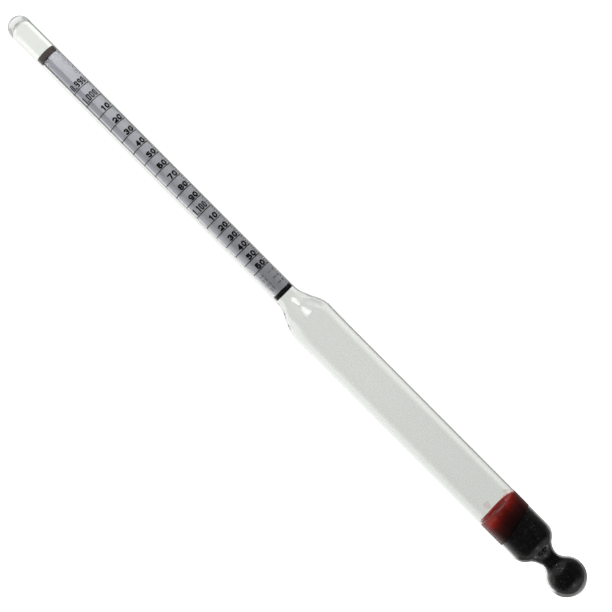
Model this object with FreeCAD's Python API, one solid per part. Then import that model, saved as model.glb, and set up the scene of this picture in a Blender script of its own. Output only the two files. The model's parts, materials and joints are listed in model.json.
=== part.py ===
# Hydrometer: a sealed glass float that shows the specific gravity of wort or must on a paper scale
# in its stem. +Z runs up the axis from the ballast bulb to the tip, as the instrument floats. The
# origin is the lowest point of the bulb, and the scale faces -Y. All sizes are in millimetres.
import FreeCAD, Part
import math
import os

Vector = FreeCAD.Vector

# --- glass -------------------------------------------------------------------------------------
OVERALL_LENGTH = 250.0
STEM_RADIUS = 3.8
STEM_WALL = 0.42
TIP_GLASS = 1.5  # thickness of the flame-sealed tip, on the axis
BODY_RADIUS = 7.55
BODY_WALL = 0.5
BODY_TOP = 118.0  # height where the straight body ends
SHOULDER_SLOPE = math.radians(25.0)  # of the shoulder's cone, from the axis
SHOULDER_BLEND = 8.0  # radius that joins the cone to the body and to the stem
BELLY_BLEND = 5.0  # outer radius below the straight body
NECK_RADIUS = 3.15
NECK_WALL = 0.5
NECK_HEIGHT = 14.0
NECK_BLEND = 5.0  # outer radius of the hollow above the neck
BULB_RADIUS = 6.5
BULB_WALL = 0.7
BULB_FOOT = 0.8  # thickness of the bulb's glass on the axis
BELLY_THICKENING = 0.4  # how much rounder the bore is than a parallel wall, below the body

STEM_BORE = STEM_RADIUS - STEM_WALL
BODY_BORE = BODY_RADIUS - BODY_WALL

# --- ballast and wax ---------------------------------------------------------------------------
BALLAST_TOP = 29.2  # height of the grit's surface on the axis
BALLAST_TILT = 12.0  # degrees; the grit settled higher on the +X side
WAX_TOP = 36.7  # height of the wax where it meets the glass
WAX_DISH = 0.9  # depth of the dish in the top of the wax

# --- paper scale -------------------------------------------------------------------------------
PAPER_RADIUS = 3.14
PAPER_THICKNESS = 0.1
PAPER_LEAN = 0.2  # the roll rests against the +X side of the bore
PAPER_LAP = (234.0, 258.0)  # azimuths between which the sheet's end lies over its start
INK = 0.015  # how far the print stands proud of the paper
BAND_CLEARANCE = 0.02
BAND_WALL = 0.45
UPPER_BAND = (232.98, 235.05)
LOWER_BAND = (130.03, 131.54)

# Heights on the stem follow the float's own law: at density d the water line stands
# FLOAT_LENGTH * (1 - 1 / d) below the water line of pure water.
WATER_LINE = 213.9
FLOAT_LENGTH = 531.2  # float's mass over water's density and the stem's cross-section

# --- print -------------------------------------------------------------------------------------
# An azimuth on the paper is 0 at the front, facing -Y, and grows towards +X. The sheet was
# rolled slightly askew, so the print turns by PRINT_SKEW from the foot of the scale to its head.
LINE_WEIGHT = 0.25
TICK_WEIGHT = 0.14
PRINT_SKEW = 10.0
PRINT_SKEW_SPAN = (140.0, 220.0)
SG_FIRST = 990  # in thousandths, as all SG values here
SG_LAST = 1160
SG_STEP = 10
SG_TICK = 2
SG_LINE_SPAN = (-92.0, 92.0)
SG_TICK_SPAN = (56.0, 90.0)
SG_NUMBER_PLACE = 22.0
SG_FULL_NUMBER_PLACE = -1.0
SG_FULL_NUMBERS = (990, 1000, 1100)  # written in full; the others by their last two figures
BRIX_LAST = 36
BRIX_STEP = 5
BRIX_LINE_SPAN = (138.0, 226.0)
BRIX_TICK_SPAN = (204.0, 226.0)
BRIX_NUMBER_PLACE = 168.0
SHORT_FIGURE = (1.5, 1.92, 0.5)  # width, height and pen width of a numeral
FULL_FIGURE = (1.02, 2.28, 0.38)
NARROW_FIGURES = {"1": 0.75, ".": 0.42}  # share of the common width that these take up
FIGURE_GAP = 0.2
FULL_FIGURE_GAP = 0.24
NUMBER_LIFT = 0.28  # from the middle of a line to the foot of its number
FULL_NUMBER_LIFT = 0.42
NOTE_MARK = (0.2, 0.62)  # width and height of a mark in the small print
NOTE_PITCH = 0.42
NOTE_WORD = 4  # marks in a word, the space after it included
NOTE_COLUMNS = (-40.0, -22.0)  # azimuths of the two columns that run up the paper
NOTE_COLUMN_SPAN = (133.2, 139.4)
NOTE_ROWS = (137.9, 135.6, 133.5)
NOTE_ROW_SPAN = (12.0, 64.0)


# --- outlines of revolved glass ------------------------------------------------------------------
def at(radius, height):
    return Vector(radius, 0, height)


def line(start, end):
    return Part.makeLine(start, end)


def arc(centre, start, end):
    """The shorter arc about centre from start to end."""
    middle = (start - centre) + (end - centre)
    middle.normalize()
    middle.multiply((start - centre).Length)
    return Part.Arc(start, centre + middle, end).toShape()


def towards(start, end, distance):
    step = end - start
    step.normalize()
    return start + step * distance


def revolve(edges):
    face = Part.Face(Part.Wire(edges))
    return face.revolve(Vector(0, 0, 0), Vector(0, 0, 1), 360)


def bulb_to_body(bulb_centre, bulb, neck, hollow, body, belly):
    """Edges from the foot of the bulb, through the neck, to the start of the straight body."""
    foot = at(0, bulb_centre - bulb)
    centre = at(0, bulb_centre)
    waist = at(neck, NECK_HEIGHT)
    rise = NECK_HEIGHT - bulb_centre
    lower_hollow = (neck**2 + rise**2 - bulb**2) / (2 * (bulb - neck))
    lower_centre = at(neck + lower_hollow, NECK_HEIGHT)
    bulb_end = towards(centre, lower_centre, bulb)
    upper_centre = at(neck + hollow, NECK_HEIGHT)
    reach = neck + hollow - (body - belly)
    belly_height = NECK_HEIGHT + math.sqrt((belly + hollow) ** 2 - reach**2)
    belly_centre = at(body - belly, belly_height)
    belly_end = towards(upper_centre, belly_centre, hollow)
    body_foot = at(body, belly_height)
    edges = [
        arc(centre, foot, bulb_end),
        arc(lower_centre, bulb_end, waist),
        arc(upper_centre, waist, belly_end),
        arc(belly_centre, belly_end, body_foot),
    ]
    return edges, body_foot


def shoulder(body, stem, body_blend, stem_blend):
    """Edges from the top of the straight body to the foot of the straight stem."""
    start = at(body, BODY_TOP)
    body_centre = at(body - body_blend, BODY_TOP)
    sine = math.sin(SHOULDER_SLOPE)
    cosine = math.cos(SHOULDER_SLOPE)
    cone_start = body_centre + at(body_blend * cosine, body_blend * sine)
    drop = body - stem - (body_blend + stem_blend) * (1 - cosine)
    cone = drop / sine
    cone_end = cone_start + at(-cone * sine, cone * cosine)
    stem_centre = cone_end + at(stem_blend * cosine, stem_blend * sine)
    end = at(stem, stem_centre.z)
    edges = [
        arc(body_centre, start, cone_start),
        line(cone_start, cone_end),
        arc(stem_centre, cone_end, end),
    ]
    return edges, end


def outer_skin():
    edges, body_foot = bulb_to_body(
        BULB_RADIUS, BULB_RADIUS, NECK_RADIUS, NECK_BLEND, BODY_RADIUS, BELLY_BLEND
    )
    edges.append(line(body_foot, at(BODY_RADIUS, BODY_TOP)))
    upper, end = shoulder(BODY_RADIUS, STEM_RADIUS, SHOULDER_BLEND, SHOULDER_BLEND)
    return edges + upper, end


def bore_below_body():
    bulb = BULB_RADIUS - BULB_WALL
    belly = BELLY_BLEND - BODY_WALL + BELLY_THICKENING
    hollow = NECK_BLEND + NECK_WALL
    return bulb_to_body(
        BULB_FOOT + bulb, bulb, NECK_RADIUS - NECK_WALL, hollow, BODY_BORE, belly
    )


def inner_skin():
    edges, body_foot = bore_below_body()
    edges.append(line(body_foot, at(BODY_BORE, BODY_TOP)))
    upper, end = shoulder(
        BODY_BORE, STEM_BORE, SHOULDER_BLEND - BODY_WALL, SHOULDER_BLEND + STEM_WALL
    )
    return edges + upper, end


# --- glass pieces --------------------------------------------------------------------------------
def body_tube():
    """Body, shoulder, neck and ballast bulb, drawn from one tube and open only to the stem."""
    outer, joint = outer_skin()
    inner, bore_end = inner_skin()
    bore_joint = at(STEM_BORE, joint.z)
    foot = line(at(0, 0), at(0, BULB_FOOT))
    rim = line(joint, bore_joint)
    inner.reverse()
    return revolve(outer + [rim, line(bore_joint, bore_end)] + inner + [foot])


def stem_tube():
    """Stem, fused to the shoulder at its foot and sealed by a flame at its tip."""
    joint = outer_skin()[1].z
    dome = OVERALL_LENGTH - STEM_RADIUS
    bore_top = OVERALL_LENGTH - TIP_GLASS
    bore_dome = bore_top - STEM_BORE
    edges = [
        line(at(STEM_BORE, joint), at(STEM_RADIUS, joint)),
        line(at(STEM_RADIUS, joint), at(STEM_RADIUS, dome)),
        arc(at(0, dome), at(STEM_RADIUS, dome), at(0, OVERALL_LENGTH)),
        line(at(0, OVERALL_LENGTH), at(0, bore_top)),
        arc(at(0, bore_dome), at(0, bore_top), at(STEM_BORE, bore_dome)),
        line(at(STEM_BORE, bore_dome), at(STEM_BORE, joint)),
    ]
    return revolve(edges)


# --- ballast and wax -----------------------------------------------------------------------------
def cavity(top):
    """The space inside the glass from the foot of the bulb up to a height on the body."""
    edges, body_foot = bore_below_body()
    closing = [
        line(body_foot, at(BODY_BORE, top)),
        line(at(BODY_BORE, top), at(0, top)),
        line(at(0, top), at(0, BULB_FOOT)),
    ]
    return revolve(edges + closing)


def below_grit_surface():
    side = 10 * BODY_RADIUS
    block = Part.makeBox(side, side, side, Vector(-side / 2, -side / 2, -side))
    block.rotate(Vector(0, 0, 0), Vector(0, 1, 0), -BALLAST_TILT)
    block.translate(Vector(0, 0, BALLAST_TOP))
    return block


def ballast():
    return cavity(WAX_TOP).common(below_grit_surface())


def wax_plug():
    dish_radius = (BODY_BORE**2 + WAX_DISH**2) / (2 * WAX_DISH)
    dish = Part.makeSphere(dish_radius)
    dish.translate(Vector(0, 0, WAX_TOP - WAX_DISH + dish_radius))
    return cavity(WAX_TOP).cut(below_grit_surface()).cut(dish)


# --- paper and its bands -------------------------------------------------------------------------
def tube(outer, inner, bottom, top):
    height = top - bottom
    place = Vector(0, 0, bottom)
    return Part.makeCylinder(outer, height, place).cut(Part.makeCylinder(inner, height, place))


def sector(outer, inner, bottom, top, start, end):
    """Part of a tube between two azimuths, in degrees from -Y towards +X."""
    turn = end - start
    places = []
    for radius in (outer, inner):
        for azimuth in (start, start + turn / 2, end):
            angle = math.radians(azimuth)
            places.append(Vector(radius * math.sin(angle), -radius * math.cos(angle), bottom))
    outer_start, outer_middle, outer_end, inner_start, inner_middle, inner_end = places
    edges = [
        Part.Arc(outer_start, outer_middle, outer_end).toShape(),
        line(outer_end, inner_end),
        Part.Arc(inner_end, inner_middle, inner_start).toShape(),
        line(inner_start, outer_start),
    ]
    return Part.Face(Part.Wire(edges)).extrude(Vector(0, 0, top - bottom))


def lean(shape):
    """Moves a piece of the roll to where the roll rests against the bore."""
    shape.translate(Vector(PAPER_LEAN, 0, 0))
    return shape


def scale_paper():
    bottom = LOWER_BAND[1]
    top = UPPER_BAND[0]
    roll = tube(PAPER_RADIUS, PAPER_RADIUS - PAPER_THICKNESS, bottom, top)
    lap = sector(PAPER_RADIUS + PAPER_THICKNESS, PAPER_RADIUS, bottom, top, *PAPER_LAP)
    return lean(roll.fuse(lap))


def band(span):
    outer = STEM_BORE - BAND_CLEARANCE
    return tube(outer, outer - BAND_WALL, span[0], span[1])


# --- numerals ------------------------------------------------------------------------------------
# A numeral is drawn with a flat pen in the XZ plane, on paths whose corners are rounded, and then
# cut from the thin shell of ink round the paper.
INK_SHELL = tube(PAPER_RADIUS + INK, PAPER_RADIUS, -1, 4)
PEN_DEPTH = PAPER_RADIUS + 1
SHORTEST_RUN = 1e-3


def swept(face):
    return face.extrude(Vector(0, PEN_DEPTH, 0))


def pen_run(start, end, pen):
    along = end - start
    side = Vector(-along.z, 0, along.x)
    side.normalize()
    side.multiply(pen / 2)
    corners = [start + side, end + side, end - side, start - side, start + side]
    return swept(Part.Face(Part.makePolygon(corners)))


def pen_dot(place, pen):
    circle = Part.makeCircle(pen / 2, place, Vector(0, 1, 0))
    return swept(Part.Face(Part.Wire([circle])))


def pen_bend(centre, start, end, pen):
    """A bend of the pen about centre, whose middle line goes from start to end."""
    radius = (start - centre).Length
    outer_start = towards(centre, start, radius + pen / 2)
    outer_end = towards(centre, end, radius + pen / 2)
    inner_start = towards(centre, start, radius - pen / 2)
    inner_end = towards(centre, end, radius - pen / 2)
    edges = [
        arc(centre, outer_start, outer_end),
        line(outer_end, inner_end),
        arc(centre, inner_end, inner_start),
        line(inner_start, outer_start),
    ]
    return swept(Part.Face(Part.Wire(edges)))


def stroke(points, pen, bend=0, closed=False):
    """Solids of one stroke. Corners get the radius bend where it is larger than half the pen."""
    solids = []
    count = len(points)
    entries = list(points)
    exits = list(points)
    for i in range(count) if closed else range(1, count - 1):
        before = points[i - 1] - points[i]
        after = points[(i + 1) % count] - points[i]
        if bend <= pen / 2:
            solids.append(pen_dot(points[i], pen))
            continue
        half = before.getAngle(after) / 2
        reach = bend / math.tan(half)
        entries[i] = towards(points[i], points[i - 1], reach)
        exits[i] = towards(points[i], points[(i + 1) % count], reach)
        middle = towards(Vector(0, 0, 0), before.normalize() + after.normalize(), 1)
        centre = points[i] + middle * (bend / math.sin(half))
        solids.append(pen_bend(centre, entries[i], exits[i], pen))
    for i in range(count if closed else count - 1):
        following = (i + 1) % count
        if (entries[following] - exits[i]).Length > SHORTEST_RUN:
            solids.append(pen_run(exits[i], entries[following], pen))
    return solids


def figure_strokes(figure, width, height, pen):
    """The solids that draw one figure, centred on x = 0 with its foot at z = 0."""
    side = (width - pen) / 2
    low = pen / 2
    top = height - pen / 2
    mid = height / 2
    bowl = min(side, (top - mid) / 2)
    six = 0.56 * height  # top of the bowl of a 6

    def path(*corners):
        return [Vector(x, 0, z) for x, z in corners]

    if figure == "0":
        return stroke(path((-side, low), (side, low), (side, top), (-side, top)), pen, side, True)
    if figure == "1":
        flag = path((0.2 * side, top), (-0.9 * side, top - 0.75 * side))
        return stroke(path((0.2 * side, 0), (0.2 * side, height)), pen) + stroke(flag, 0.8 * pen)
    if figure == "2":
        turn = mid - 0.1 * height
        head = path((-side, top - 1.15 * side), (-side, top), (side, top), (side, turn))
        tail = path((side - 0.07 * side, turn), (-side, low + 0.1 * pen), (side + low, low))
        return stroke(head, pen, side) + stroke(tail, pen)
    if figure == "3":
        head = path((-side, top - 1.1 * bowl), (-side, top), (side, top), (side, mid), (-0.3 * side, mid))
        foot = path((-0.3 * side, mid), (side, mid), (side, low), (-side, low), (-side, low + 1.1 * bowl))
        return stroke(head, pen, bowl) + stroke(foot, pen, bowl)
    if figure == "4":
        bar = 0.3 * height
        post = path((0.45 * side, 0), (0.45 * side, height))
        sail = path((0.45 * side, top), (-side, bar), (side + low, bar))
        return stroke(post, pen) + stroke(sail, 0.85 * pen)
    if figure == "5":
        shelf = 0.58 * height
        head = path((side + 0.6 * low, top), (-0.8 * side, top), (-side, shelf))
        foot = path((-side, shelf), (side, shelf), (side, low), (-side, low), (-side, low + 1.1 * bowl))
        return stroke(head, pen) + stroke(foot, pen, bowl)
    if figure in "69":
        ring = stroke(path((-side, low), (side, low), (side, six), (-side, six)), pen, bowl, True)
        hook = path((-side, mid / 2), (-side, top), (0.6 * side, top), (0.9 * side, top - 0.35 * bowl))
        return ring + stroke(hook, pen, 0.6 * bowl)
    if figure == "7":
        return stroke(path((-side - low, top), (side, top), (-0.35 * side, 0)), pen)
    if figure == "8":
        foot = stroke(path((-side, low), (side, low), (side, mid), (-side, mid)), pen, bowl, True)
        return foot + stroke(path((-side, mid), (side, mid), (side, top), (-side, top)), pen, bowl, True)
    return [pen_run(Vector(0, 0, 0), Vector(0, 0, 1.1 * pen), 1.1 * pen)]


def ink_figure(figure, size):
    """One figure as a thin curved solid on the front of the paper. A 9 is a 6 turned over."""
    solids = figure_strokes(figure, *size)
    drawn = solids[0].multiFuse(solids[1:]) if len(solids) > 1 else solids[0]
    if figure == "9":
        drawn.rotate(Vector(0, 0, size[1] / 2), Vector(0, 1, 0), 180)
    drawn.translate(Vector(0, -PEN_DEPTH, 0))
    return drawn.common(INK_SHELL).removeSplitter()


def skew(height):
    low, high = PRINT_SKEW_SPAN
    return PRINT_SKEW * ((height - low) / (high - low) - 0.5)


class Figures:
    """Draws numbers of one size, and each figure's shape only once."""

    def __init__(self, size, gap):
        self.size = size
        self.gap = gap
        self.shapes = {}

    def shape(self, figure):
        if figure not in self.shapes:
            self.shapes[figure] = ink_figure(figure, self.size)
        return self.shapes[figure].copy()

    def advance(self, figure):
        return self.size[0] * NARROW_FIGURES.get(figure, 1) + self.gap

    def number(self, text, height, azimuth):
        """The solids of a number whose middle is at azimuth and whose foot is at height."""
        pen_place = -sum(self.advance(figure) for figure in text) / 2
        solids = []
        for figure in text:
            pen_place += self.advance(figure) / 2
            turn = azimuth + skew(height) + math.degrees(pen_place / PAPER_RADIUS)
            shape = self.shape(figure)
            shape.rotate(Vector(0, 0, 0), Vector(0, 0, 1), turn)
            shape.translate(Vector(0, 0, height))
            solids += lean(shape).Solids
            pen_place += self.advance(figure) / 2
        return solids


# --- print on the paper ----------------------------------------------------------------------------
def height_of_density(density):
    """Height of the water line in a liquid of this density, relative to water."""
    return WATER_LINE - FLOAT_LENGTH * (1 - 1 / density)


def density_of_brix(brix):
    return 1 + brix / (258.6 - 227.1 * brix / 258.2)


def printed_line(height, weight, span):
    start, end = (azimuth + skew(height) for azimuth in span)
    outer = PAPER_RADIUS + INK
    return lean(
        sector(outer, PAPER_RADIUS, height - weight / 2, height + weight / 2, start, end)
    )


def gravity_heights(step):
    return {
        value: height_of_density(value / 1000) for value in range(SG_FIRST, SG_LAST + 1, step)
    }


def gravity_lines():
    return [
        printed_line(height, LINE_WEIGHT, SG_LINE_SPAN)
        for height in gravity_heights(SG_STEP).values()
    ]


def gravity_ticks():
    return [
        printed_line(height, TICK_WEIGHT, SG_TICK_SPAN)
        for value, height in gravity_heights(SG_TICK).items()
        if value % SG_STEP
    ]


def gravity_numbers():
    short = Figures(SHORT_FIGURE, FIGURE_GAP)
    full = Figures(FULL_FIGURE, FULL_FIGURE_GAP)
    solids = []
    for value, height in gravity_heights(SG_STEP).items():
        if value in SG_FULL_NUMBERS:
            written = f"{value / 1000:.3f}"
            solids += full.number(written, height + FULL_NUMBER_LIFT, SG_FULL_NUMBER_PLACE)
        else:
            solids += short.number(str(value % 100), height + NUMBER_LIFT, SG_NUMBER_PLACE)
    return solids


def sugar_heights():
    return {brix: height_of_density(density_of_brix(brix)) for brix in range(BRIX_LAST + 1)}


def sugar_lines():
    lines = []
    for brix, height in sugar_heights().items():
        if brix % BRIX_STEP:
            lines.append(printed_line(height, TICK_WEIGHT, BRIX_TICK_SPAN))
        else:
            lines.append(printed_line(height, LINE_WEIGHT, BRIX_LINE_SPAN))
    return lines


def sugar_numbers():
    short = Figures(SHORT_FIGURE, FIGURE_GAP)
    solids = []
    for brix, height in sugar_heights().items():
        if brix % BRIX_STEP == 0:
            solids += short.number(str(brix), height + NUMBER_LIFT, BRIX_NUMBER_PLACE)
    return solids


def note_places(start, end, pitch):
    """Middles of the marks of one row, in words with a space between them."""
    count = int((end - start) / pitch)
    return [start + (i + 0.5) * pitch for i in range(count) if (i + 1) % NOTE_WORD]


def note_mark(foot, height, azimuth, width):
    """One mark of the small print; width is measured round the paper."""
    half = math.degrees(width / PAPER_RADIUS) / 2
    return lean(
        sector(PAPER_RADIUS + INK, PAPER_RADIUS, foot, foot + height, azimuth - half, azimuth + half)
    )


def small_print():
    """Short marks that stand for notes too small to read, below the last line of the scale."""
    width, height = NOTE_MARK
    marks = []
    for azimuth in NOTE_COLUMNS:
        for middle in note_places(*NOTE_COLUMN_SPAN, NOTE_PITCH):
            marks.append(note_mark(middle - width / 2, width, azimuth, height))
    pitch = math.degrees(NOTE_PITCH / PAPER_RADIUS)
    for foot in NOTE_ROWS:
        for middle in note_places(*NOTE_ROW_SPAN, pitch):
            marks.append(note_mark(foot, height, middle, width))
    return marks


def main():
    os.makedirs("parts", exist_ok=True)
    pieces = {
        "stem_tube": [stem_tube()],
        "body_tube": [body_tube()],
        "ballast": [ballast()],
        "wax_plug": [wax_plug()],
        "scale_paper": [scale_paper()],
        "upper_band": [band(UPPER_BAND)],
        "lower_band": [band(LOWER_BAND)],
        "gravity_lines": gravity_lines(),
        "gravity_ticks": gravity_ticks(),
        "gravity_numbers": gravity_numbers(),
        "sugar_lines": sugar_lines(),
        "sugar_numbers": sugar_numbers(),
        "small_print": small_print(),
    }
    for name, shapes in pieces.items():
        shape = shapes[0] if len(shapes) == 1 else Part.makeCompound(shapes)
        shape.exportStep(f"parts/{name}.step")
        print(name, len(shape.Solids), round(shape.Volume, 2), shape.isValid())


main()
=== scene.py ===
import json
import math

import bpy
from mathutils import Matrix, Vector, noise

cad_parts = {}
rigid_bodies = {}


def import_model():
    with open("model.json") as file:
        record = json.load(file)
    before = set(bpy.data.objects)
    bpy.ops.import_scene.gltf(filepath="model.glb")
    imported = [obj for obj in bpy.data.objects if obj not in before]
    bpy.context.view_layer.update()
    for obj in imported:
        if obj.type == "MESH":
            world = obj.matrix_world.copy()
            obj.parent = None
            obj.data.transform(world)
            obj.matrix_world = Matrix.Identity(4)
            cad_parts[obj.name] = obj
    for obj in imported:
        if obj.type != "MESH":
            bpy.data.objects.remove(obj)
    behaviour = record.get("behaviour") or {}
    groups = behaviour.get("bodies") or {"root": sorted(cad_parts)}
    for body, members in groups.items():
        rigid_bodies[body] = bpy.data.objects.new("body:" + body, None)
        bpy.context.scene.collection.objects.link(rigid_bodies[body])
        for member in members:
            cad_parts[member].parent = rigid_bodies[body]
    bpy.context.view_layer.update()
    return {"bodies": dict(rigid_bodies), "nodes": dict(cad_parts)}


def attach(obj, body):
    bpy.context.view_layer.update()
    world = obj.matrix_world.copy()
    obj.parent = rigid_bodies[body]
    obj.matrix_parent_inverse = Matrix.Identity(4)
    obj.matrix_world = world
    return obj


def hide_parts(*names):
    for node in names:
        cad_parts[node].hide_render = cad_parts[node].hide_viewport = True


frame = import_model()
BODY = next(iter(frame["bodies"]))
MM = 0.001

# --- glass -------------------------------------------------------------------------------------
OVERALL_LENGTH = 250.0
STEM_RADIUS = 3.8
STEM_BORE = 3.38
TIP_GLASS = 1.5
BODY_RADIUS = 7.55
BODY_BORE = 7.05
BODY_TOP = 118.0
SHOULDER_SLOPE = math.radians(25.0)
SHOULDER_BLEND = 8.0
BELLY_BLEND = 5.0
INNER_BELLY = 4.9
NECK_RADIUS = 3.15
NECK_BORE = 2.65
NECK_HEIGHT = 14.0
NECK_BLEND = 5.0
INNER_NECK_BLEND = 5.5
BULB_RADIUS = 6.5
INNER_BULB = 5.8
BULB_FOOT = 0.8
GLASS_SIDES = 176
FINE, COARSE = 0.34, 2.6  # between rows of points where the glass bends and where it is straight

# --- what is in the glass ----------------------------------------------------------------------
BALLAST_TOP = 29.2
BALLAST_SLOPE = math.tan(math.radians(12.0))  # rise of the grit's surface towards +X
WAX_TOP = 36.7
WAX_DISH = 0.9
PAPER_OUTSIDE = 3.125  # just under the print, which stands on a radius of 3.14
PAPER_THICKNESS = 0.095
PAPER_LEAN = 0.2
PAPER_SPAN = (131.56, 232.96)
UPPER_BAND = (232.98, 235.05)
LOWER_BAND = (130.03, 131.54)
BAND_OUTSIDE = 3.36
BAND_INSIDE = 2.91


# --- small geometry ----------------------------------------------------------------------------
def smooth(low, high, value):
    """0 below low and 1 above high, with a smooth step between them."""
    share = min(max((value - low) / (high - low), 0.0), 1.0)
    return share * share * (3 - 2 * share)


def towards(start, end, distance):
    """The point at this distance from start on the way to end."""
    gap = math.dist(start, end)
    return tuple(s + (e - s) * distance / gap for s, e in zip(start, end))


def arc(centre, start, end, step):
    """Points of the shorter arc about centre, from start to end, about step apart."""
    radius = math.dist(centre, start)
    first = math.atan2(start[1] - centre[1], start[0] - centre[0])
    last = math.atan2(end[1] - centre[1], end[0] - centre[0])
    turn = (last - first + math.pi) % (2 * math.pi) - math.pi
    count = max(2, math.ceil(abs(turn) * radius / step))
    return [
        (
            centre[0] + radius * math.cos(first + turn * i / count),
            centre[1] + radius * math.sin(first + turn * i / count),
        )
        for i in range(count + 1)
    ]


def line(start, end, step):
    """Points of a straight run, at most step apart."""
    count = max(1, math.ceil(math.dist(start, end) / step))
    return [
        tuple(s + (e - s) * i / count for s, e in zip(start, end)) for i in range(count + 1)
    ]


def joined(*runs):
    """One outline from runs that each start where the last one ended."""
    points = list(runs[0])
    for run in runs[1:]:
        points += run[1:]
    return points


def on_circle(radius, azimuth, height):
    """A point whose azimuth, in radians, is 0 at the front, facing -Y, and grows towards +X."""
    return Vector((radius * math.sin(azimuth), -radius * math.cos(azimuth), height))


def ring(radius_at, height_at, sides):
    """A ring of points whose radius and height are functions of the azimuth."""
    points = []
    for i in range(sides):
        azimuth = 2 * math.pi * i / sides
        points.append(on_circle(radius_at(azimuth), azimuth, height_at(azimuth)))
    return points


SHARP = math.radians(65)  # angle between faces beyond which their edge stays sharp


class Skin:
    """Collects the points and faces of one mesh from rows of points."""

    def __init__(self):
        self.points = []
        self.faces = []

    def rows(self, rows, around=True, over=False, flip=False):
        """Faces between rows of points. A row of one point is a pole. around joins each row's
        last point to its first, and over joins the last row to the first."""
        starts = []
        for row in rows:
            starts.append(len(self.points))
            self.points += row
        for i in range(len(rows) if over else len(rows) - 1):
            k = (i + 1) % len(rows)
            low, high = len(rows[i]), len(rows[k])
            sides = max(low, high)
            for j in range(sides if around else sides - 1):
                n = (j + 1) % sides
                if low == 1:
                    face = (starts[i], starts[k] + n, starts[k] + j)
                elif high == 1:
                    face = (starts[i] + j, starts[i] + n, starts[k])
                else:
                    face = (starts[i] + j, starts[i] + n, starts[k] + n, starts[k] + j)
                self.faces.append(face[::-1] if flip else face)

    def piece(self, name, material, slot, *nodes):
        """The finished mesh, smooth except where its faces meet at more than SHARP."""
        mesh = bpy.data.meshes.new(name)
        mesh.from_pydata([p * MM for p in self.points], [], self.faces)
        mesh.polygons.foreach_set("use_smooth", [True] * len(mesh.polygons))
        mesh.update()
        mesh.set_sharp_from_angle(angle=SHARP)
        made = bpy.data.objects.new(name, mesh)
        bpy.context.scene.collection.objects.link(made)
        mesh.materials.append(material)
        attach(made, BODY)
        if nodes:
            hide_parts(*nodes)
        return made


# --- outlines of the glass ---------------------------------------------------------------------
def bulb_to_body(centre, bulb, neck, hollow, body, belly, step):
    """Outline from the foot of the bulb, through the neck, to the foot of the straight body."""
    foot = (0.0, centre - bulb)
    middle = (0.0, centre)
    waist = (neck, NECK_HEIGHT)
    rise = NECK_HEIGHT - centre
    lower_hollow = (neck**2 + rise**2 - bulb**2) / (2 * (bulb - neck))
    lower_centre = (neck + lower_hollow, NECK_HEIGHT)
    bulb_end = towards(middle, lower_centre, bulb)
    upper_centre = (neck + hollow, NECK_HEIGHT)
    reach = neck + hollow - (body - belly)
    belly_height = NECK_HEIGHT + math.sqrt((belly + hollow) ** 2 - reach**2)
    belly_centre = (body - belly, belly_height)
    belly_end = towards(upper_centre, belly_centre, hollow)
    return joined(
        arc(middle, foot, bulb_end, step),
        arc(lower_centre, bulb_end, waist, step),
        arc(upper_centre, waist, belly_end, step),
        arc(belly_centre, belly_end, (body, belly_height), step),
    )


def shoulder(body, stem, body_blend, stem_blend, step):
    """Outline from the top of the straight body to the foot of the straight stem."""
    sine, cosine = math.sin(SHOULDER_SLOPE), math.cos(SHOULDER_SLOPE)
    body_centre = (body - body_blend, BODY_TOP)
    cone_start = (body_centre[0] + body_blend * cosine, BODY_TOP + body_blend * sine)
    cone = (body - stem - (body_blend + stem_blend) * (1 - cosine)) / sine
    cone_end = (cone_start[0] - cone * sine, cone_start[1] + cone * cosine)
    stem_centre = (cone_end[0] + stem_blend * cosine, cone_end[1] + stem_blend * sine)
    return joined(
        arc(body_centre, (body, BODY_TOP), cone_start, step),
        line(cone_start, cone_end, step),
        arc(stem_centre, cone_end, (stem, stem_centre[1]), step),
    )


def lower_bore(step):
    """Outline of the bore, from the foot of the bulb to the foot of the straight body."""
    return bulb_to_body(
        BULB_FOOT + INNER_BULB,
        INNER_BULB,
        NECK_BORE,
        INNER_NECK_BLEND,
        BODY_BORE,
        INNER_BELLY,
        step,
    )


def tube_outline(lower, body, stem, blends, top):
    """Outline of one surface of the glass, from the foot of the bulb to the tip."""
    upper = shoulder(body, stem, *blends, FINE / 2)
    return joined(
        lower,
        line(lower[-1], (body, BODY_TOP), COARSE),
        upper,
        line(upper[-1], (stem, top - stem), COARSE),
        arc((0.0, top - stem), (stem, top - stem), (0.0, top), FINE),
    )


def worked(height):
    """How much the flame has softened the glass at a height, from 0 to 1."""
    lower = 1 - smooth(20.0, 27.0, height)
    middle = smooth(114.0, 119.0, height) * (1 - smooth(130.0, 135.0, height))
    tip = smooth(242.0, 247.0, height)
    return max(lower, middle, tip)


def ripple(point, length, seed):
    """Smooth noise with waves about this long, in millimetres, about from -0.5 to 0.5."""
    return noise.noise(point / length + Vector((seed, 2.3 * seed, -seed)))


# How far the wall wanders, and over what length, where it is drawn and where it was worked in
# the flame
DRAWN_WANDER, DRAWN_WAVE = 0.012, 6.0
WORKED_WANDER, WORKED_WAVE = 0.09, 5.0
PUCKER, PUCKER_WAVE = 0.085, 2.6  # finer folds of the shoulder's inner surface
SKIN_SEED, BORE_SEED = 3.0, 21.0


def waved(radius, azimuth, height, seed, pucker):
    """The radius at a place on the glass whose outline has this radius."""
    if radius < 0.01:
        return radius
    place = on_circle(radius, azimuth, height)
    drawn = ripple(Vector((place.x, place.y, place.z * 0.2)), DRAWN_WAVE, seed)
    soft = worked(height) * min(radius / 3.0, 1.0)
    wander = DRAWN_WANDER * drawn + WORKED_WANDER * soft * ripple(place, WORKED_WAVE, seed + 7)
    folds = smooth(117.0, 120.0, height) * (1 - smooth(126.0, 129.5, height))
    return radius + wander + pucker * folds * ripple(place, PUCKER_WAVE, seed + 13)


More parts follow.
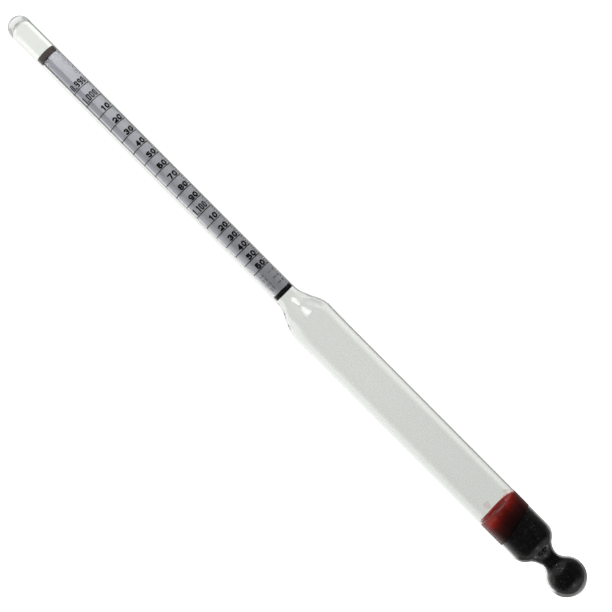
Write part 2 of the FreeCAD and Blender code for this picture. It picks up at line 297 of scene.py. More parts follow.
def bore_at(radius, azimuth, height):
    """Radius of the bore below the shoulder, where its outline has this radius."""
    return waved(radius, azimuth, height, BORE_SEED, 0.0)


def glass_rows(outline, seed, pucker):
    """Rows of points of one surface of the glass, with its waves."""
    rows = []
    for radius, height in outline:
        if radius < 1e-6:
            rows.append([Vector((0.0, 0.0, height))])
            continue
        rows.append(
            ring(
                lambda azimuth: waved(radius, azimuth, height, seed, pucker),
                lambda azimuth: height,
                GLASS_SIDES,
            )
        )
    return rows


def glass_envelope(material):
    """The whole glass as one body, as the lampworker leaves it: an outer and an inner surface."""
    outer = tube_outline(
        bulb_to_body(
            BULB_RADIUS, BULB_RADIUS, NECK_RADIUS, NECK_BLEND, BODY_RADIUS, BELLY_BLEND, FINE
        ),
        BODY_RADIUS,
        STEM_RADIUS,
        (SHOULDER_BLEND, SHOULDER_BLEND),
        OVERALL_LENGTH,
    )
    body_wall, stem_wall = BODY_RADIUS - BODY_BORE, STEM_RADIUS - STEM_BORE
    inner = tube_outline(
        lower_bore(FINE),
        BODY_BORE,
        STEM_BORE,
        (SHOULDER_BLEND - body_wall, SHOULDER_BLEND + stem_wall),
        OVERALL_LENGTH - TIP_GLASS,
    )
    skin = Skin()
    skin.rows(glass_rows(outer, SKIN_SEED, 0.3 * PUCKER))
    skin.rows(glass_rows(inner, BORE_SEED, PUCKER), flip=True)
    made = skin.piece("glass_envelope", material, "glass", "body_tube", "stem_tube")
    made.visible_shadow = False
    return made


# --- grit and wax ------------------------------------------------------------------------------
GRIT_GAP = 0.04  # between the bore and the mean surface of the grit
GRAIN = 0.42  # size of a grain
GRAIN_RELIEF = 0.085
GRIT_SIDES = 170
GRIT_ROW_STEP = 0.24
GRIT_WALL_ROWS = 24  # between the top of the lower bore and the grit's surface
GRIT_TOP_RINGS = (6.5, 5.6, 4.4, 3.0, 1.5)  # radii of the rows across the grit's surface


def grit_level(azimuth, radius):
    """Height of the grit's sloping surface."""
    return BALLAST_TOP + BALLAST_SLOPE * radius * math.sin(azimuth)


def grain(place):
    """Height of the grains packed at a place, about from -0.5 to 0.5."""
    near, far = noise.voronoi(place / GRAIN)[0][:2]
    return min(far - near, 0.6) - 0.3 - 0.4 * near


def grit_rows():
    """Rows of the grit's surface against the glass, from the foot to the top of the lower bore."""
    outline = lower_bore(GRIT_ROW_STEP)
    rows = [[Vector((0.0, 0.0, outline[0][1] + GRIT_GAP))]]
    for (r0, z0), (radius, height), (r2, z2) in zip(outline, outline[1:], outline[2:]):
        length = math.hypot(r2 - r0, z2 - z0)
        across, up = (z2 - z0) / length, (r0 - r2) / length
        row = []
        for j in range(GRIT_SIDES):
            azimuth = 2 * math.pi * j / GRIT_SIDES
            wall = bore_at(radius, azimuth, height)
            shift = GRAIN_RELIEF * grain(on_circle(wall, azimuth, height)) - GRIT_GAP
            row.append(on_circle(wall + across * shift, azimuth, height + up * shift))
        rows.append(row)
    return rows


def ballast(material):
    """The grit, which fills the bore up to its sloping surface."""
    skin = Skin()
    rows = grit_rows()
    foot = rows[-1][0].z
    wall = BODY_BORE - GRIT_GAP
    for i in range(1, GRIT_WALL_ROWS + 1):
        row = []
        for j in range(GRIT_SIDES):
            azimuth = 2 * math.pi * j / GRIT_SIDES
            height = foot + (grit_level(azimuth, wall) - foot) * i / GRIT_WALL_ROWS
            relief = GRAIN_RELIEF * grain(on_circle(wall, azimuth, height))
            row.append(on_circle(bore_at(wall, azimuth, height) + relief, azimuth, height))
        rows.append(row)
    for radius in GRIT_TOP_RINGS:
        rows.append(ring(lambda a: radius, lambda a: grit_level(a, radius), GRIT_SIDES))
    rows.append([Vector((0.0, 0.0, BALLAST_TOP))])
    skin.rows(rows)
    return skin.piece("ballast_grit", material, "grit", "ballast")


WAX_SIDES = 168
WAX_CONTACT = 0.04  # how far the wax is drawn into the glass, so that no air shows between them
WAX_GAP = 0.02  # between the grit and the underside of the wax
WAX_FOOT_RINGS = (1.5, 3.0, 4.5, 6.0, 6.8)  # radii of the rows across the underside
WAX_WALL_ROWS = 30
WAX_TOP_ROWS = 20
WAX_FILLET = 0.6  # distance from the bore at which the free surface starts
# Distance from the bore of each row of the film that climbs the glass, and its share of the way
# down from the rim to the free surface
WAX_FILM = ((0.03, 0.03), (0.09, 0.35), (0.2, 0.68), (0.4, 0.9))
# Azimuth in degrees, width in degrees and height of the places where the wax climbs the glass
WAX_TONGUES = ((-24.0, 12.0, 0.3), (52.0, 14.0, 0.35), (141.0, 16.0, 0.3), (-110.0, 20.0, 0.4))


def wax_rim(azimuth):
    """Height of the edge of the wax on the glass."""
    climb = 0.2 * noise.noise(on_circle(1.7, azimuth, 4.0))
    for place, width, height in WAX_TONGUES:
        away = (math.degrees(azimuth) - place + 180) % 360 - 180
        climb += height * math.exp(-((away / width) ** 2))
    return WAX_TOP + 0.1 + climb


def wax_surface(azimuth, radius):
    """Height of the free surface of the wax away from the glass."""
    share = radius / BODY_BORE
    ridge = 0.28 * math.exp(-(((share - 0.78) / 0.07) ** 2))
    waves = 0.3 * ripple(on_circle(radius, azimuth, 0.0), 2.8, 5.0)
    return WAX_TOP - WAX_DISH * (1 - share**2) - 0.12 + ridge + waves


def wax_plug(material):
    """The wax, from its underside, up the glass, over the rim and across its free surface."""
    wall = BODY_BORE + WAX_CONTACT
    rows = [[Vector((0.0, 0.0, BALLAST_TOP + WAX_GAP))]]
    for radius in WAX_FOOT_RINGS:
        rows.append(ring(lambda a: radius, lambda a: grit_level(a, radius) + WAX_GAP, WAX_SIDES))
    for i in range(WAX_WALL_ROWS + 1):
        share = i / WAX_WALL_ROWS

        def height(azimuth):
            low = grit_level(azimuth, wall) + 0.12 * ripple(on_circle(7, azimuth, 0), 1.6, 9.0)
            return low + (wax_rim(azimuth) - low) * share

        rows.append(ring(lambda a: bore_at(wall, a, height(a)), height, WAX_SIDES))
    for inset, drop in WAX_FILM:
        radius = BODY_BORE - inset

        def film(azimuth):
            top, bottom = wax_rim(azimuth), wax_surface(azimuth, BODY_BORE - WAX_FILLET) + 0.08
            return top + (bottom - top) * drop

        rows.append(ring(lambda a: radius, film, WAX_SIDES))
    for i in range(WAX_TOP_ROWS):
        radius = (BODY_BORE - WAX_FILLET) * (1 - i / WAX_TOP_ROWS)
        rows.append(ring(lambda a: radius, lambda a: wax_surface(a, radius), WAX_SIDES))
    rows.append([Vector((0.0, 0.0, wax_surface(0.0, 0.0)))])
    skin = Skin()
    skin.rows(rows)
    return skin.piece("wax_seal", material, "wax", "wax_plug")


# Azimuth in degrees, height, half width and half height of each smear of wax on the bore
SMEARS = (
    (-164.0, 38.3, 1.2, 1.2),
    (126.0, 37.9, 1.7, 0.8),
    (34.0, 37.5, 1.4, 0.6),
)
SMEAR_THICKNESS = 0.07
SMEAR_BACK = BODY_BORE + 0.015  # radius of the side that clings to the glass
SMEAR_SIDES = 40
SMEAR_RINGS = 8


def wax_smears(material):
    """Thin lens-shaped traces of wax left on the bore above the plug."""
    skin = Skin()
    for number, (place, middle, half_width, half_height) in enumerate(SMEARS):
        back, front = [], []
        for i in range(SMEAR_RINGS + 1):
            share = i / SMEAR_RINGS
            outer, inner = [], []
            for j in range(1 if i == 0 else SMEAR_SIDES):
                turn = 2 * math.pi * j / SMEAR_SIDES
                sine, cosine = math.sin(turn), math.cos(turn)
                edge = 1 + 0.45 * noise.noise(Vector((cosine, sine, number * 3.1)))
                azimuth = math.radians(place) + share * edge * half_width * cosine / BODY_BORE
                height = middle + share * edge * half_height * sine
                thickness = SMEAR_THICKNESS * (1 - share**2)
                outer.append(on_circle(SMEAR_BACK, azimuth, height))
                inner.append(on_circle(SMEAR_BACK - thickness, azimuth, height))
            back.append(outer)
            front.append(inner)
        skin.rows(back[:-1] + front[::-1])
    return skin.piece("wax_traces", material, "wax")


# --- the rolled scale --------------------------------------------------------------------------
# Azimuths in degrees along the sheet, from the outer end that shows to the inner end in the roll
SHEET_START = 234.0
SHEET_END = 711.0
LAP_END = 258.0  # where the outer end comes down from the layer that it lies on
LAP_RUN = 4.0
LAYER = PAPER_THICKNESS + 0.005  # from one layer of the roll to the next
PAPER_ROWS = 60


def sheet_radius(azimuth):
    """Radius of the outside of the sheet; it steps in by one thickness at each lap."""
    outer_step = smooth(LAP_END, LAP_END + LAP_RUN, azimuth)
    inner_step = smooth(LAP_END + 360, LAP_END + 360 + LAP_RUN, azimuth)
    return PAPER_OUTSIDE + LAYER * (1 - outer_step) - (LAYER + 0.003) * inner_step


def sheet_azimuths():
    """Azimuths of the columns of points along the sheet, closer together at each lap."""
    azimuths = []
    azimuth = SHEET_START
    while azimuth < SHEET_END:
        azimuths.append(azimuth)
        near_lap = min(abs(azimuth - LAP_END), abs(azimuth - LAP_END - 360)) < 2 * LAP_RUN
        azimuth += 1.0 if near_lap else 2.5
    return azimuths + [SHEET_END]


def scale_roll(material):
    """The sheet of paper, rolled up a little more than once round."""
    azimuths = sheet_azimuths()
    lean = Vector((PAPER_LEAN, 0.0, 0.0))
    low, high = PAPER_SPAN
    rows = []
    for i in range(PAPER_ROWS + 1):
        height = low + (high - low) * i / PAPER_ROWS
        outside, inside = [], []
        for azimuth in azimuths:
            turn = math.radians(azimuth)
            wander = 0.008 * ripple(on_circle(3.0, turn, height * 0.3), 2.0, azimuth // 360)
            radius = sheet_radius(azimuth) + wander - 0.004
            trim = 0.03 * noise.noise(Vector((turn * 1.5, i // PAPER_ROWS, 3.3)))
            level = height + (trim if i in (0, PAPER_ROWS) else 0.0)
            outside.append(on_circle(radius, turn, level) + lean)
            inside.append(on_circle(radius - PAPER_THICKNESS, turn, level) + lean)
        rows.append(outside + inside[::-1])
    skin = Skin()
    skin.rows(rows)
    count, last = len(azimuths), len(rows[0]) * PAPER_ROWS
    for j in range(count - 1):
        edge = (j, j + 1, 2 * count - 2 - j, 2 * count - 1 - j)
        skin.faces.append((edge[1], edge[0], edge[3], edge[2]))
        skin.faces.append(tuple(last + k for k in edge))
    return skin.piece("scale_roll", material, "paper", "scale_paper")


BAND_CORNER = 0.13
BAND_SIDES = 120


def band_section(low, high):
    """Radius and height of the points round a band's section, which has four round corners."""
    section = []
    for radius, height, first in (
        (BAND_OUTSIDE, high, 90),
        (BAND_INSIDE, high, 180),
        (BAND_INSIDE, low, 270),
        (BAND_OUTSIDE, low, 0),
    ):
        across = radius + (-BAND_CORNER if radius == BAND_OUTSIDE else BAND_CORNER)
        up = height + (-BAND_CORNER if height == high else BAND_CORNER)
        for i in range(5):
            turn = math.radians(first - 90 + 22.5 * i)
            section.append((across + BAND_CORNER * math.cos(turn), up + BAND_CORNER * math.sin(turn)))
    return section


def band(name, span, material, node, seed):
    """A ring of rubber with rounded edges, a little uneven where it was cut and pushed in."""
    low, high = span
    rows = []
    for radius, height in band_section(low, high):

        def radius_at(azimuth):
            return radius - 0.03 + 0.05 * ripple(on_circle(radius, azimuth, height), 1.4, seed)

        def height_at(azimuth):
            return height + 0.05 * noise.noise(on_circle(1.3, azimuth, seed + (height > low + 1)))

        rows.append(ring(radius_at, height_at, BAND_SIDES))
    skin = Skin()
    skin.rows(rows, over=True, flip=True)
    return skin.piece(name, material, "band", node)


# --- shader helpers ----------------------------------------------------------------------------
class Nodes:
    """A node tree with short ways to add the nodes that the materials use."""

    def __init__(self, tree):
        self.tree = tree

    def add(self, kind, inputs=(), **settings):
        node = self.tree.nodes.new(kind)
        for key, value in settings.items():
            setattr(node, key, value)
        for key, value in dict(inputs).items():
            self.feed(node.inputs[key], value)
        return node

    def feed(self, socket, value):
        if isinstance(value, bpy.types.NodeSocket):
            self.tree.links.new(value, socket)
        else:
            socket.default_value = value

    def math(self, operation, *values):
        node = self.add("ShaderNodeMath", operation=operation)
        for socket, value in zip(node.inputs, values):
            self.feed(socket, value)
        return node.outputs[0]

    def between(self, value, low, high):
        """0 below low and 1 above high, with a smooth step between them."""
        node = self.add("ShaderNodeMapRange", {0: value, 1: low, 2: high})
        node.interpolation_type = "SMOOTHSTEP"
        return node.outputs[0]

    def mix(self, share, first, second, blend="MIX"):
        node = self.add("ShaderNodeMix", data_type="RGBA", blend_type=blend)
        for index, value in ((0, share), (6, first), (7, second)):
            self.feed(node.inputs[index], value)
        return node.outputs[2]

    def ramp(self, value, stops):
        node = self.add("ShaderNodeValToRGB", {0: value})
        node.color_ramp.elements[0].position = 0.0
        node.color_ramp.elements[1].position = 1.0
        while len(node.color_ramp.elements) < len(stops):
            node.color_ramp.elements.new(0.5)
        for element, (place, tint) in zip(node.color_ramp.elements, stops):
            element.position = place
            element.color = tint
        return node.outputs[0]

    def noise(self, place, scale, detail=2.0, roughness=0.5):
        node = self.add(
            "ShaderNodeTexNoise",
            {"Vector": place, "Scale": scale, "Detail": detail, "Roughness": roughness},
        )
        return node.outputs[0]

    def place(self, scale=(1.0, 1.0, 1.0)):
        """The point on the piece in the row frame, in metres, stretched by scale."""
        node = self.add("ShaderNodeTexCoord")
        mapping = self.add("ShaderNodeMapping", {"Vector": node.outputs["Object"], "Scale": scale})
        return mapping.outputs[0]

    def split(self, vector):
        return self.add("ShaderNodeSeparateXYZ", {0: vector}).outputs

    def bump(self, height, depth, strength=1.0):
        node = self.add("ShaderNodeBump", {"Height": height, "Distance": depth, "Strength": strength})
        return node.outputs[0]


def colour(red, green, blue):
    return (red, green, blue, 1.0)


def grey(level):
    return colour(level, level, level)


def material(name, build):
    made = bpy.data.materials.new(name)
    made.use_nodes = True
    made.node_tree.nodes.clear()
    nodes = Nodes(made.node_tree)
    shader = build(nodes)
    nodes.add("ShaderNodeOutputMaterial", {"Surface": shader.outputs[0]})
    return made


# --- materials ---------------------------------------------------------------------------------
def clear_glass(nodes):
    drawn = nodes.noise(nodes.place((900.0, 900.0, 12.0)), 1.0, 2.0)
    tint = nodes.mix(drawn, colour(0.955, 0.972, 0.945), colour(0.972, 0.985, 0.962))
    return nodes.add(
        "ShaderNodeBsdfPrincipled",
        {
            "Base Color": tint,
            "Roughness": 0.0,
            "IOR": 1.49,
            "Transmission Weight": 1.0,
            "Normal": nodes.bump(drawn, 0.01 * MM, 0.1),
        },
    )


def dark_grit(nodes):
    place = nodes.place()
    grains = nodes.add("ShaderNodeTexVoronoi", {"Vector": place, "Scale": 1 / (GRAIN * MM)})
    tone = nodes.split(grains.outputs["Color"])[0]
    base = nodes.ramp(
        tone,
        [
            (0.0, colour(0.002, 0.002, 0.002)),
            (0.6, colour(0.005, 0.0052, 0.005)),
            (0.93, colour(0.012, 0.012, 0.0115)),
            (1.0, colour(0.04, 0.04, 0.039)),
        ],
    )
    rough = nodes.add("ShaderNodeMapRange", {0: tone, 3: 0.3, 4: 0.6}).outputs[0]
    fine = nodes.noise(place, 9000.0, 3.0)
    return nodes.add(
        "ShaderNodeBsdfPrincipled",
        {
            "Base Color": base,
            "Roughness": rough,
            "Specular IOR Level": 0.12,
            "Normal": nodes.bump(fine, 0.04 * MM, 0.5),
        },
    )


def wax_on_glass(nodes, x, z, mottle):
    """Colour of the wax against the glass: black grit soaked into its foot, clean at its rim; its red
    towards the rim is partly painted light from above, and its glancing sides get painted light.
    """
    level = nodes.math("SUBTRACT", z, nodes.math("MULTIPLY", x, BALLAST_SLOPE))
    height = nodes.math("SUBTRACT", level, BALLAST_TOP * MM)
    wander = nodes.math("MULTIPLY", nodes.math("SUBTRACT", mottle, 0.5), 1.6 * MM)
    share = nodes.math("DIVIDE", nodes.math("ADD", height, wander), (WAX_TOP - BALLAST_TOP) * MM)
    # black at the foot to red at the rim: partly grit soaked into the wax, partly painted light from
    # above
    wall = nodes.ramp(
        share,
        [
            (0.0, colour(0.008, 0.005, 0.005)),
            (0.18, colour(0.02, 0.006, 0.006)),
            (0.34, colour(0.036, 0.007, 0.007)),
            (0.5, colour(0.06, 0.009, 0.008)),
            (0.67, colour(0.125, 0.012, 0.009)),
            (0.83, colour(0.3, 0.017, 0.012)),
            (0.97, colour(0.42, 0.06, 0.05)),
        ],
    )
    # painted light: the glancing sides of the wax are lightened to a reddish brown
    facing = nodes.add("ShaderNodeLayerWeight", {"Blend": 0.5}).outputs["Facing"]
    edge = nodes.between(facing, 0.12, 0.3)
    return nodes.mix(nodes.math("MULTIPLY", edge, 0.7), wall, colour(0.17, 0.027, 0.025))


def wax_in_air(nodes, radius, y, z):
    """Colour of the free surface: dark in the middle of the dish, with a painted highlight along the
    rim, pale pink on the far side and dull red on the near side.
    """
    dish = nodes.between(radius, 2.6 * MM, 5.6 * MM)
    free = nodes.mix(dish, colour(0.07, 0.003, 0.0025), colour(0.18, 0.01, 0.008))
    # painted highlight along the rim, pale pink on the far side
    rim = nodes.between(z, (WAX_TOP - 0.12) * MM, (WAX_TOP + 0.15) * MM)
    far = nodes.between(y, -1.5 * MM, 1.5 * MM)
    rim_highlight = nodes.mix(far, colour(0.22, 0.03, 0.027), colour(0.85, 0.42, 0.38))
    return nodes.mix(rim, free, rim_highlight)


def red_wax(nodes):
    place = nodes.place()
    x, y, z = nodes.split(place)
    mottle = nodes.noise(place, 700.0, 3.0, 0.6)
    radius = nodes.math(
        "SQRT", nodes.math("ADD", nodes.math("MULTIPLY", x, x), nodes.math("MULTIPLY", y, y))
    )
    wetted = nodes.between(radius, (BODY_BORE - 0.02) * MM, (BODY_BORE + 0.02) * MM)
    free = wax_in_air(nodes, radius, y, z)
    gloss = nodes.math("MULTIPLY", nodes.math("SUBTRACT", 1.0, wetted), 0.06)
    return nodes.add(
        "ShaderNodeBsdfPrincipled",
        {
            "Base Color": nodes.mix(wetted, free, wax_on_glass(nodes, x, z, mottle)),
            "Roughness": nodes.math("ADD", 0.28, nodes.math("MULTIPLY", mottle, 0.25)),
            "Specular IOR Level": gloss,
            "Normal": nodes.bump(nodes.noise(place, 1400.0, 3.0), 0.08 * MM, 0.5),
        },
    )


def thin_wax(nodes):
    mottle = nodes.noise(nodes.place(), 1500.0, 3.0, 0.6)
    return nodes.add(
        "ShaderNodeBsdfPrincipled",
        {
            "Base Color": nodes.mix(mottle, colour(0.5, 0.12, 0.11), colour(0.42, 0.05, 0.045)),
            "Roughness": 0.35,
            "Specular IOR Level": 0.1,
            "Alpha": 0.1,
        },
    )


# The strips along the sheet turn with height, because it was rolled slightly askew
SKEW_MIDDLE = 180.0  # height at which they stand at the azimuths given
SKEW_RATE = math.radians(0.2) / MM  # turn per metre of height
# Azimuths in degrees between which each strip of the sheet fades in, then out: a painted highlight
# beside the sheet's edge and a painted shadow along the edge
EDGE_HIGHLIGHT = ((-64, -60), (-52, -46))
EDGE_SHADOW = ((-77, -74), (-67, -64))


def strip(nodes, azimuth, fade_in, fade_out):
    """1 between two azimuths and 0 elsewhere."""
    return nodes.math(
        "MULTIPLY",
        nodes.between(azimuth, math.radians(fade_in[0]), math.radians(fade_in[1])),
        nodes.between(azimuth, math.radians(fade_out[1]), math.radians(fade_out[0])),
    )


def scale_paper(nodes):
    place = nodes.place()
    x, y, z = nodes.split(place)
    fibres = nodes.noise(nodes.place((1.0, 1.0, 0.35)), 4200.0, 4.0, 0.65)
    cloud = nodes.noise(place, 160.0, 2.0)
    beside = nodes.math("SUBTRACT", x, PAPER_LEAN * MM)
    turn = nodes.math("ARCTAN2", beside, nodes.math("MULTIPLY", y, -1.0))
    # from the sheet's outer end to its inner end the roll is one layer thicker, and is painted darker
    # there: painted shade for the light that two layers hold back, full above 225 mm and gone below
    # 140 mm
    outer_end, inner_end, soft = SHEET_START - 360, SHEET_END - 720, math.degrees(0.012)
    doubled_shade = strip(
        nodes, turn, (outer_end - soft, outer_end + soft), (inner_end - soft, inner_end + soft)
    )
    doubled_shade = nodes.math("MULTIPLY", doubled_shade, nodes.between(z, 140 * MM, 225 * MM))
    skew = nodes.math("MULTIPLY", nodes.math("SUBTRACT", z, SKEW_MIDDLE * MM), SKEW_RATE)
    along = nodes.math("SUBTRACT", turn, skew)
    # painted highlight beside the sheet's edge, stronger lower down
    fading = nodes.math("SUBTRACT", 1.2, nodes.between(z, 150 * MM, 240 * MM))
    edge_highlight = nodes.math("MULTIPLY", strip(nodes, along, *EDGE_HIGHLIGHT), fading)
    edge_shadow = strip(nodes, along, *EDGE_SHADOW)
    sheet = nodes.mix(fibres, colour(0.56, 0.56, 0.63), colour(0.66, 0.66, 0.72))
    sheet = nodes.mix(nodes.math("MULTIPLY", cloud, 0.35), sheet, colour(0.6, 0.58, 0.62))
    # painted shade where the roll is doubled
    base = nodes.mix(doubled_shade, sheet, colour(0.37, 0.37, 0.42))
    # painted highlight beside the sheet's edge
    base = nodes.mix(edge_highlight, base, colour(0.95, 0.95, 0.98))
    # painted shadow along the sheet's edge
    base = nodes.mix(edge_shadow, base, colour(0.12, 0.12, 0.13))
    return nodes.add(
        "ShaderNodeBsdfPrincipled",
        {
            "Base Color": base,
            "Roughness": nodes.math("ADD", 0.6, nodes.math("MULTIPLY", fibres, 0.25)),
            "Specular IOR Level": 0.3,
            "Normal": nodes.bump(fibres, 0.02 * MM, 0.35),
        },
    )


def dark_rubber(nodes):
    place = nodes.place((1.0, 1.0, 2.5))
    specks = nodes.noise(place, 2600.0, 4.0, 0.7)
    height = nodes.split(nodes.place())[2]
    # the upper band is painted lighter: partly dust, partly painted light for the lamp above it
    dust_and_light = nodes.between(height, 140 * MM, 220 * MM)  # the upper band only
    clean = nodes.mix(specks, colour(0.005, 0.005, 0.005), colour(0.02, 0.02, 0.019))
    dusty_and_lit = nodes.mix(specks, colour(0.04, 0.035, 0.036), colour(0.12, 0.1, 0.098))
    return nodes.add(
        "ShaderNodeBsdfPrincipled",
        {
            "Base Color": nodes.mix(dust_and_light, clean, dusty_and_lit),
            "Roughness": nodes.math("ADD", 0.5, nodes.math("MULTIPLY", specks, 0.3)),
            "Specular IOR Level": 0.2,
            "Normal": nodes.bump(specks, 0.02 * MM, 0.4),
        },
    )


def ink(level):
    def build(nodes):
        grainy = nodes.noise(nodes.place(), 5200.0, 3.0, 0.7)
        base = nodes.mix(grainy, grey(level * 0.6), grey(level * 1.6))
        return nodes.add(
            "ShaderNodeBsdfPrincipled",
            {
                "Base Color": base,
                "Roughness": nodes.math("ADD", 0.45, nodes.math("MULTIPLY", grainy, 0.3)),
                "Specular IOR Level": 0.3,
            },
        )

    return build


# --- stage -------------------------------------------------------------------------------------
BACKDROP = 0.8  # brightness of the paler surroundings as the glass lets them through
FLOOR_RADIUS = 5.0


def spot(nodes, direction, azimuth, elevation, inner, outer):
    """1 within inner degrees of a direction of the surroundings and 0 outside outer degrees."""
    a, e = math.radians(azimuth), math.radians(elevation)
    aim = (math.sin(a) * math.cos(e), -math.cos(a) * math.cos(e), math.sin(e))
    cosine = nodes.add(
        "ShaderNodeVectorMath", {0: direction, 1: aim}, operation="DOT_PRODUCT"
    ).outputs["Value"]
    return nodes.between(cosine, math.cos(math.radians(outer)), math.cos(math.radians(inner)))


def mirrored_studio(nodes, direction):
    """What the glass mirrors: bright on the left and behind, dark in front and on the right."""
    x, y, z = nodes.split(direction)
    azimuth = nodes.math("ARCTAN2", x, nodes.math("MULTIPLY", y, -1.0))
    around = nodes.math("ADD", nodes.math("DIVIDE", azimuth, 2 * math.pi), 0.5)

    def stop(degrees, level):
        return (degrees / 360 + 0.5, grey(level))

    mirrored = nodes.ramp(
        around,
        [
            stop(-180, 1.0),
            stop(-128, 0.95),
            stop(-105, 0.45),
            stop(-86, 0.12),
            stop(-70, 0.03),
            stop(85, 0.025),
            stop(105, 0.05),
            stop(128, 0.12),
            stop(138, 0.25),
            stop(154, 0.28),
            stop(160, 0.85),
            stop(180, 1.0),
        ],
    )
    behind = nodes.between(y, 0.0, 0.3)
    upright = nodes.between(nodes.math("ABSOLUTE", z), 0.6, 0.85)
    above = nodes.math("MULTIPLY", nodes.between(z, -0.1, 0.1), behind)
    overhead = nodes.mix(above, grey(0.25), grey(0.92))
    mirrored = nodes.mix(upright, mirrored, overhead)
    under = nodes.math("MULTIPLY", nodes.between(z, -0.2, -0.4), behind)
    mirrored = nodes.mix(under, mirrored, grey(0.12))
    for place, size, level in (
        ((-6, -62), (5, 14), 0.6),
        ((-92, 30), (8, 24), 0.35),
        ((124, 36), (14, 30), 0.1),
    ):
        lit = spot(nodes, direction, *place, *size)
        mirrored = nodes.mix(lit, mirrored, grey(level))
    return mirrored


def studio_through_glass(nodes, direction):
    """What the glass lets through: a backdrop that is brightest just above the level view."""
    x, y, z = nodes.split(direction)
    height = nodes.math("ADD", nodes.math("MULTIPLY", z, 0.5), 0.5)

    def rise(degrees, level):
        return (0.5 * math.sin(math.radians(degrees)) + 0.5, grey(level * BACKDROP))

    through = nodes.ramp(
        height,
        [
            rise(-60, 0.35),
            rise(-24, 0.6),
            rise(-13, 0.92),
            rise(-8, 0.93),
            rise(-3, 1.0),
            rise(9, 1.0),
            rise(11.4, 1.22),
            rise(30, 1.22),
            rise(44, 0.5),
            rise(60, 0.3),
        ],
    )
    turned = nodes.math("ABSOLUTE", nodes.math("DIVIDE", x, nodes.math("MAXIMUM", y, 0.01)))
    aside = nodes.between(turned, math.tan(math.radians(2.5)), math.tan(math.radians(6.5)))
    wider = nodes.math("ADD", 1.0, nodes.math("MULTIPLY", aside, 0.28))
    through = nodes.mix(1.0, through, wider, "MULTIPLY")
    open_side = nodes.math("MULTIPLY", nodes.between(x, -0.05, 0.2), nodes.between(z, -0.1, -0.3))
    return nodes.mix(nodes.math("MULTIPLY", open_side, 0.8), through, grey(1.1 * BACKDROP))


def fill_light(nodes, direction):
    """What lights the pieces from all round: little from the front, most from the left."""
    x, y, _ = nodes.split(direction)
    sideways = nodes.between(y, -math.cos(math.radians(65)), 0.0)
    flank = nodes.mix(nodes.between(x, -0.3, 0.3), grey(2.3), grey(1.6))
    return nodes.mix(sideways, grey(0.06), flank)


def surroundings():
    """A white studio. Direct views of it are overexposed; what the glass lets through, what it
    mirrors and what lights the rest each have their own level, as flags and a filter give."""
    world = bpy.data.worlds.new("studio")
    bpy.context.scene.world = world
    world.use_nodes = True
    world.node_tree.nodes.clear()
    nodes = Nodes(world.node_tree)
    direction = nodes.add("ShaderNodeTexCoord").outputs["Generated"]
    path = nodes.add("ShaderNodeLightPath").outputs
    reflected = nodes.math("GREATER_THAN", path["Glossy Depth"], 0.5)
    trapped = nodes.math("GREATER_THAN", path["Glossy Depth"], 1.5)
    mirrored = mirrored_studio(nodes, direction)
    mirrored = nodes.mix(nodes.math("MULTIPLY", trapped, 0.85), mirrored, grey(0.62))
    through = studio_through_glass(nodes, direction)
    lighting = nodes.mix(path["Is Transmission Ray"], fill_light(nodes, direction), through)
    lighting = nodes.mix(reflected, lighting, mirrored)
    seen = nodes.mix(path["Is Camera Ray"], lighting, grey(1.15))
    background = nodes.add("ShaderNodeBackground", {"Color": seen})
    nodes.add("ShaderNodeOutputWorld", {"Surface": background.outputs[0]})


def pale_floor(nodes):
    speckle = nodes.noise(nodes.place(), 60.0, 2.0)
    matte = nodes.add("ShaderNodeBsdfDiffuse", {"Color": nodes.mix(speckle, grey(0.78), grey(0.82))})
    glow = nodes.add("ShaderNodeEmission", {"Color": grey(1.0), "Strength": 0.85})
    return nodes.add("ShaderNodeAddShader", {0: matte.outputs[0], 1: glow.outputs[0]})


def studio():
    """The white surroundings and a pale floor, which only the camera sees."""
    surroundings()
    mesh = bpy.data.meshes.new("floor")
    sides = 64
    rim = [on_circle(FLOOR_RADIUS, 2 * math.pi * i / sides, 0.0) for i in range(sides)]
    mesh.from_pydata(rim, [], [tuple(range(sides))])
    floor = bpy.data.objects.new("floor", mesh)
    bpy.context.scene.collection.objects.link(floor)
    mesh.materials.append(material("pale_floor", pale_floor))
    floor.visible_glossy = False
    floor.visible_transmission = False
    floor.visible_diffuse = False


def softbox(name, place, aim, size, power, spread):
    """A soft lamp over the elliptical area size, whose beam is seen in no mirror or window."""
    light = bpy.data.lights.new(name, "AREA")
    light.shape = "ELLIPSE"
    light.size, light.size_y = size
    light.energy = power
    light.spread = math.radians(spread)
    made = bpy.data.objects.new(name, light)
    made.location = place
    made.rotation_mode = "QUATERNION"
    made.rotation_quaternion = (Vector(aim) - Vector(place)).to_track_quat("-Z", "Y")
    bpy.context.scene.collection.objects.link(made)
    made.visible_camera = False
    made.visible_glossy = False
    made.visible_transmission = False
    return made


def highlight(name, place, aim, size, power, spread, glass):
    """A lamp with a narrow beam that only shows as its own reflection in the glass."""
    made = softbox(name, place, aim, size, power, spread)
    made.visible_glossy = True
    made.visible_diffuse = False
    only = bpy.data.collections.new(name)
    only.objects.link(glass)
    made.light_linking.receiver_collection = only


# Each lamp's place, aim and size in metres, its power in watts and its beam's spread in degrees
SOFTBOXES = {
    "key": ((0.012, -0.1, 0.37), (0.0, 0.0, 0.215), (0.12, 0.12), 0.58, 180.0),
    "left": ((-0.122, 0.044, 0.175), (0.0, 0.0, 0.175), (0.1, 0.2), 0.45, 180.0),
    "right": ((0.128, 0.023, 0.185), (0.0, 0.0, 0.185), (0.1, 0.2), 0.12, 180.0),
    "low": ((0.02, -0.12, 0.05), (0.0, 0.0, 0.033), (0.08, 0.08), 0.017, 70.0),
}
WINDOW = ((0.034, -0.103, 0.2105), (0.0, 0.0, 0.1215), (0.15, 0.055), 0.013, 44.0)


def lamps(glass):
    for name, settings in SOFTBOXES.items():
        softbox(name, *settings)
    highlight("window", *WINDOW, glass)


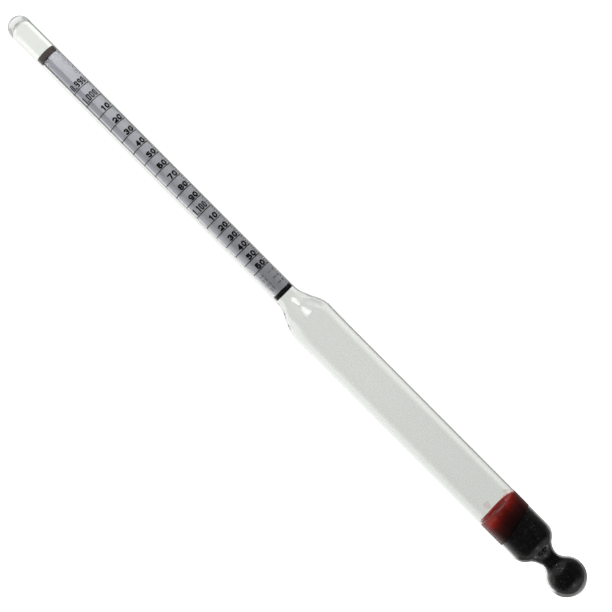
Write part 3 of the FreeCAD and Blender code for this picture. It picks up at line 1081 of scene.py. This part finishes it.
# --- camera ------------------------------------------------------------------------------------
CAMERA_PLACE = (0.00198, -0.5507, 0.1227)
CAMERA_LENS = 104.62
CAMERA_ROLL = math.radians(44.87)  # which lays the upright part across the picture


def camera():
    """A level camera that looks along +Y, rolled about its own axis."""
    data = bpy.data.cameras.new("camera")
    data.lens = CAMERA_LENS
    data.sensor_width = 36.0
    made = bpy.data.objects.new("camera", data)
    bpy.context.scene.collection.objects.link(made)
    sine, cosine = math.sin(CAMERA_ROLL), math.cos(CAMERA_ROLL)
    x, y, z = CAMERA_PLACE
    made.matrix_world = Matrix(
        ((cosine, sine, 0, x), (0, 0, -1, y), (-sine, cosine, 0, z), (0, 0, 0, 1))
    )
    bpy.context.scene.camera = made


# --- assembly ----------------------------------------------------------------------------------
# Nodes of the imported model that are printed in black
PRINT = ("gravity_lines", "gravity_ticks", "gravity_numbers", "sugar_lines", "sugar_numbers")


def print_on(name, finish):
    for holder in frame["nodes"][name].material_slots:
        holder.material = finish


def build_object():
    glass = glass_envelope(material("clear_glass", clear_glass))
    ballast(material("dark_grit", dark_grit))
    wax_plug(material("red_wax", red_wax))
    wax_smears(material("thin_wax", thin_wax))
    scale_roll(material("scale_paper", scale_paper))
    rubber = material("dark_rubber", dark_rubber)
    band("band_upper", UPPER_BAND, rubber, "upper_band", 4.0)
    band("band_lower", LOWER_BAND, rubber, "lower_band", 11.0)
    black = material("black_ink", ink(0.004))
    pale = material("pale_ink", ink(0.18))
    for name in PRINT:
        print_on(name, black)
    print_on("small_print", pale)
    return glass


BOUNCES = 64  # enough for light that is trapped in the wall of the glass to get out


def look():
    scene = bpy.context.scene
    scene.view_settings.view_transform = "Standard"
    scene.view_settings.look = "None"
    scene.cycles.caustics_refractive = False
    scene.cycles.caustics_reflective = False
    scene.cycles.max_bounces = BOUNCES
    scene.cycles.transmission_bounces = BOUNCES
    scene.cycles.glossy_bounces = BOUNCES
    scene.cycles.transparent_max_bounces = 16


glass = build_object()
studio()
lamps(glass)
camera()
look()
